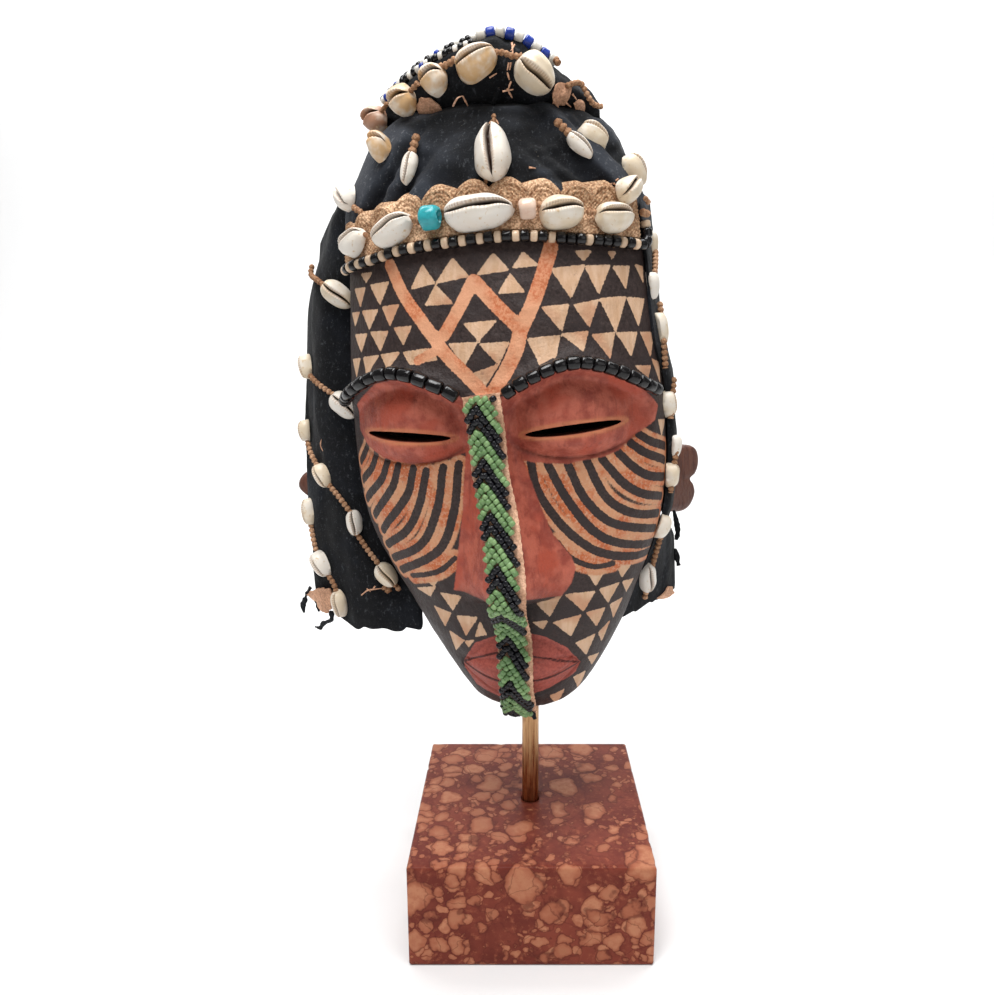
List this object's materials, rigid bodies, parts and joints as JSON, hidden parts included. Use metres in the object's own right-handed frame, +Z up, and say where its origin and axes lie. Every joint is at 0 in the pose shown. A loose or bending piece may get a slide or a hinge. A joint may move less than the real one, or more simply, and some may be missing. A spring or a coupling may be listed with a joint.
{
  "type": "kuba mask on a stand",
  "caption": "Carved and painted wooden face mask with a beaded nose band, cowrie shells and a black cloth hood, on a brass rod and a square marble base.",
  "frame": {"origin": "the middle of the marble base's underside", "axes": "+Z is up, +Y points away from the viewer and +X to the viewer's right, square to the base; the mask is turned 7 degrees to the viewer's left and leans 3.6 degrees to the left"},
  "size_m": [0.2503, 0.153, 0.4836],
  "materials": {
    "marble": "polished red breccia marble",
    "brass": "satin, slightly darkened",
    "painted_wood": "carved wood, matt earth paints in black, cream, orange and red",
    "black_cloth": "matt black cotton cloth, worn and faded in places",
    "raffia": "coarse tan raffia cloth and cord",
    "black_beads": "glossy opaque glass tubes, black, and cream between them on the headband",
    "white_beads": "opaque glass, white and cream, with blue and black among them on the crest",
    "green_beads": "opaque glass seed beads, green and black in slanting bands on tan cloth",
    "turquoise_bead": "glossy opaque turquoise glass",
    "shell": "smooth shell with a soft gloss, cream to white, on raffia cords"
  },
  "bodies": {
    "root": {"marble_base": "marble", "brass_rod": "brass", "carved_face": "painted_wood", "cap": "black_cloth", "crest": "black_cloth", "left_lappet": "black_cloth", "right_lappet": "black_cloth", "neck_cloth": "black_cloth", "raffia_headband": "raffia", "headband_beads": "black_beads", "crest_beads": "white_beads", "brow_beads_left": "black_beads", "brow_beads_right": "black_beads", "nose_bead_strip": "green_beads", "turquoise_bead": "turquoise_bead", "white_bead": "white_beads", "cowrie_band_1": "shell", "cowrie_band_2": "shell", "cowrie_band_3": "shell", "cowrie_band_4": "shell", "cowrie_band_5": "shell", "cowrie_band_6": "shell", "cowrie_cap_left": "shell", "cowrie_cap_shoulder": "shell", "cowrie_cap_front": "shell", "cowrie_cap_right_1": "shell", "cowrie_cap_right_2": "shell", "cowrie_crest_1": "shell", "cowrie_crest_2": "shell", "cowrie_crest_3": "shell", "cowrie_crest_4": "shell", "cowrie_crest_5": "shell", "cowrie_pendant_left": "shell", "cowrie_pendant_right": "shell", "shell_string_left_1": "shell", "shell_string_left_2": "shell", "shell_string_left_3": "shell", "shell_string_left_4": "shell", "shell_string_right_1": "shell", "shell_string_right_2": "shell", "shell_string_right_3": "shell", "shell_string_right_4": "shell", "shell_string_right_5": "shell"}
  },
  "joints": []
}
